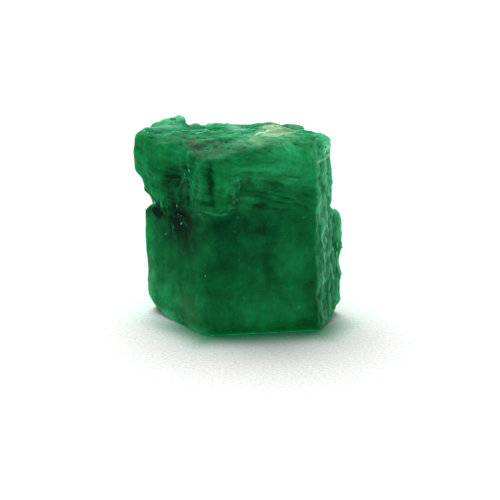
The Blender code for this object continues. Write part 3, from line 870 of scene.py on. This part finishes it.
studio = {
    "floorSize": 2.0,  # metres
    "floor": (0.95, 0.955, 0.95),
    "fibres": 2600.0,  # to the metre
    "specks": 7000.0,
    "fibreDepth": 0.1,  # mm
    "paperRoughness": 0.9,
    "paperGloss": 0.1,
    "contact": (0.06, 0.42, 0.20),  # painted contact shadow, tinted green as by light that comes down through the stone
    "contactReach": 2.1,  # mm
    "contactAhead": (-0.6, -2.8),  # mm, how far forward it grows from nothing to full
    "glow": (0.91, 1.0, 0.97),  # painted light that the stone throws round it
    "glowReach": 4.0,  # mm
    # the foot's outline: which way each side faces (degrees) and how far out it is (mm)
    "footFaces": ((278, 3.2), (218, 3.1), (200, 3.67), (158, 4.5), (98, 3.2), (38, 4.0), (335, 4.4)),
    "dome": 0.38,  # strength of the even light from all round
    "sunStrength": 2.9,
    "sunSpread": 50.0,  # degrees across, as wide as a softbox
    "sunFrom": (-0.15, 0.50, 1.0),
    "lens": 100.0,  # mm
    "distance": 0.06944,  # metres from the target
    "elevation": 17.0,  # degrees above the floor
    "target": (0.0006, 0.0, 0.0033),  # metres
}


def makeFloor():
    bm = bmesh.new()
    bmesh.ops.create_grid(bm, x_segments=1, y_segments=1, size=studio["floorSize"] / 2)
    mesh = bpy.data.meshes.new("floor")
    bm.to_mesh(mesh)
    bm.free()
    floor = bpy.data.objects.new("floor", mesh)
    bpy.context.scene.collection.objects.link(floor)
    material = bpy.data.materials.new("paper")
    material.use_nodes = True
    tree = material.node_tree
    surface = tree.nodes["Principled BSDF"]
    surface.inputs["Roughness"].default_value = studio["paperRoughness"]
    surface.inputs["Specular IOR Level"].default_value = studio["paperGloss"]
    spots = put(tree, "ShaderNodeTexCoord").outputs["Object"]
    fibres = noise(tree, spots, studio["fibres"], 3.0, 0.6)
    beyond = []
    for degrees, distance in studio["footFaces"]:
        turn = math.radians(degrees)
        along = vector(tree, "DOT_PRODUCT", spots, (math.cos(turn), math.sin(turn), 0), result=1)
        beyond.append(calc(tree, "SUBTRACT", along, distance * millimetre))
    reach = chain(tree, "MAXIMUM", beyond)
    ahead = put(tree, "ShaderNodeSeparateXYZ", {"Vector": spots}).outputs["Y"]
    start, end = studio["contactAhead"]
    ahead = ramp(tree, ahead, start * millimetre, end * millimetre)
    colour = (*studio["floor"], 1.0)
    for name in ("glow", "contact"):
        tint = put(tree, "ShaderNodeMix", data_type="RGBA")
        feed(tree, tint.inputs["A"], colour)
        tint.inputs["B"].default_value = (*studio[name], 1.0)
        near = ramp(tree, reach, studio[name + "Reach"] * millimetre, 0.0)
        feed(tree, tint.inputs["Factor"], product(tree, near, ahead if name == "contact" else 1.0))
        colour = tint.outputs["Result"]
    speck = vector(tree, "SCALE", colour)
    specks = ramp(tree, noise(tree, spots, studio["specks"], 2.0, 0.7), 0.3, 0.7, 0.9, 1.08)
    feed(tree, speck.node.inputs["Scale"], specks)
    feed(tree, surface.inputs["Base Color"], speck)
    bump = put(tree, "ShaderNodeBump", {
        "Height": fibres, "Strength": 0.5, "Distance": studio["fibreDepth"] * millimetre,
    })
    tree.links.new(bump.outputs[0], surface.inputs["Normal"])
    mesh.materials.append(material)


def makeLight():
    world = bpy.data.worlds.new("studio")
    world.use_nodes = True
    bpy.context.scene.world = world
    tree = world.node_tree
    sky = tree.nodes["Background"]
    sky.inputs["Color"].default_value = (1, 1, 1, 1)
    seen = put(tree, "ShaderNodeLightPath").outputs["Is Camera Ray"]
    feed(tree, sky.inputs["Strength"], ramp(tree, seen, 0.0, 1.0, studio["dome"], 1.0))
    sun = bpy.data.lights.new("softbox", "SUN")
    sun.energy = studio["sunStrength"]
    sun.angle = math.radians(studio["sunSpread"])
    lamp = bpy.data.objects.new("softbox", sun)
    lamp.rotation_euler = Vector(studio["sunFrom"]).to_track_quat("Z", "Y").to_euler()
    bpy.context.scene.collection.objects.link(lamp)


def makeCamera():
    elevation = math.radians(studio["elevation"])
    back = Vector((0, -math.cos(elevation), math.sin(elevation)))
    data = bpy.data.cameras.new("camera")
    data.lens = studio["lens"]
    data.sensor_width = 36.0
    data.clip_start = 0.001
    data.clip_end = 10.0
    camera = bpy.data.objects.new("camera", data)
    camera.location = Vector(studio["target"]) + back * studio["distance"]
    camera.rotation_euler = back.to_track_quat("Z", "Y").to_euler()
    bpy.context.scene.collection.objects.link(camera)
    bpy.context.scene.camera = camera


makeCamera()
makeFloor()
makeLight()
print("stage ready")
emerald = makeSkin(emeraldFinish())
chipGlass = chipFinish("chipFinish", chips["tone"])
glintGlass = chipFinish("glintFinish", chips["glintTone"])
glints = makeChips(emerald, chipGlass, glintGlass)
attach(emerald, "root")
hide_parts("emerald_crystal")
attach(glints, "root")
print("crystal skin:", len(emerald.data.polygons), "faces,", len(glints.data.polygons), "on chips")
bpy.context.scene.view_settings.view_transform = "Standard"
